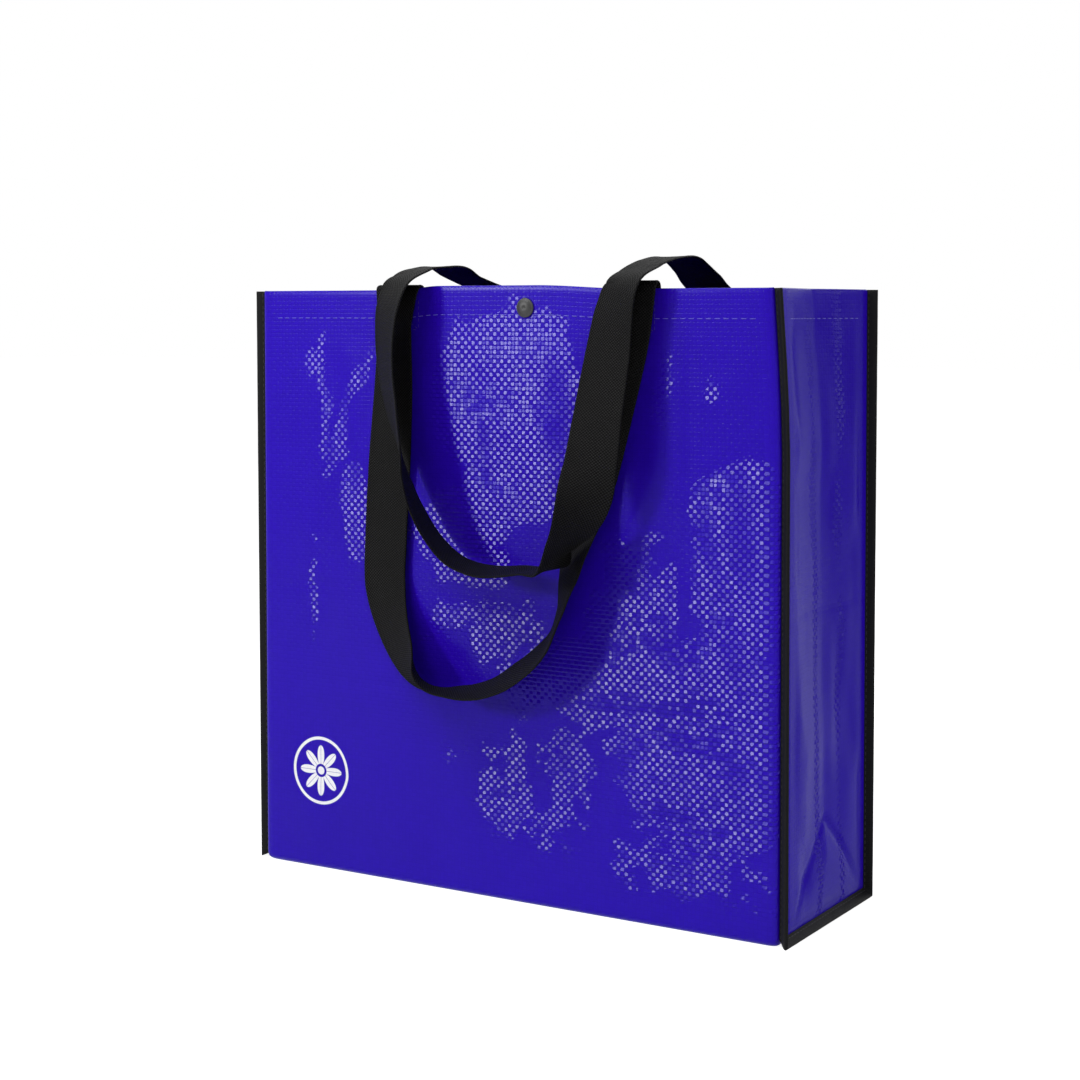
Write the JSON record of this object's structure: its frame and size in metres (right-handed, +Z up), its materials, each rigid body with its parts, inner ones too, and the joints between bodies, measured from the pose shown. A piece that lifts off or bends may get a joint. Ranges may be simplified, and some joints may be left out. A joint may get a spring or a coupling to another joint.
{
  "type": "woven shopping bag",
  "caption": "Open-topped shopping bag of glossy woven plastic sheet with taped side seams, hems, a snap and webbing handles that hang over its front.",
  "frame": {"origin": "on the floor under the middle of the base", "axes": "+X along the width, with the front panel and both hanging loops at -Y, and +Z up out of the mouth"},
  "size_m": [0.4122, 0.1897, 0.4219],
  "materials": {
    "sheet": "glossy film over a tape weave",
    "tape": "ribbed woven tape",
    "webbing": "close woven webbing",
    "snap": "satin"
  },
  "bodies": {
    "root": {"body_sheet": "sheet", "gusset_left": "sheet", "gusset_right": "sheet", "binding_left": "tape", "binding_right": "tape", "front_handle": "webbing", "back_handle": "webbing", "snap_cap_front": "snap", "snap_socket": "snap", "snap_cap_back": "snap", "snap_stud": "snap"}
  },
  "joints": []
}
